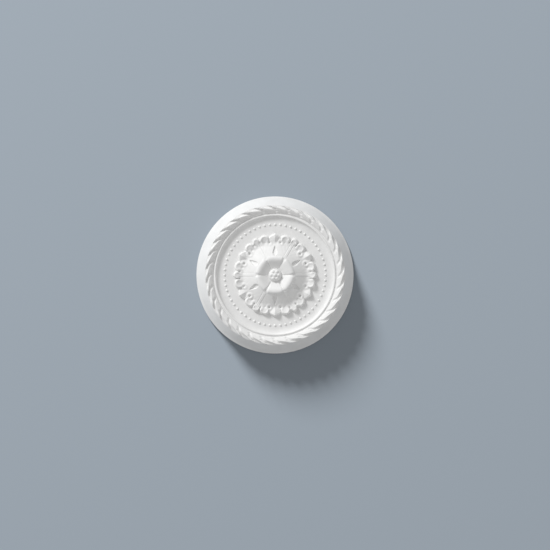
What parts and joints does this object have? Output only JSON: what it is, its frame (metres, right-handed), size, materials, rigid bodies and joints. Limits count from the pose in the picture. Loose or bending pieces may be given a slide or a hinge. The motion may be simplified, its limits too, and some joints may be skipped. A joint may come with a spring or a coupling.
{
  "type": "ceiling rose",
  "caption": "Small round moulded ceiling rose with a rope-twist rim, a ring of pearls, acanthus leaves and a flower cup, flat at the back.",
  "frame": {"origin": "middle of the flat back face, where it is glued to the ceiling", "axes": "+Z out of the back face towards the carved front, +Y towards the top of the picture, +X to its right"},
  "size_m": [0.28, 0.28, 0.036],
  "materials": {
    "white_moulding": "smooth matt white moulding, as primed"
  },
  "bodies": {
    "root": {"ceiling_rose": "white_moulding"}
  },
  "joints": []
}
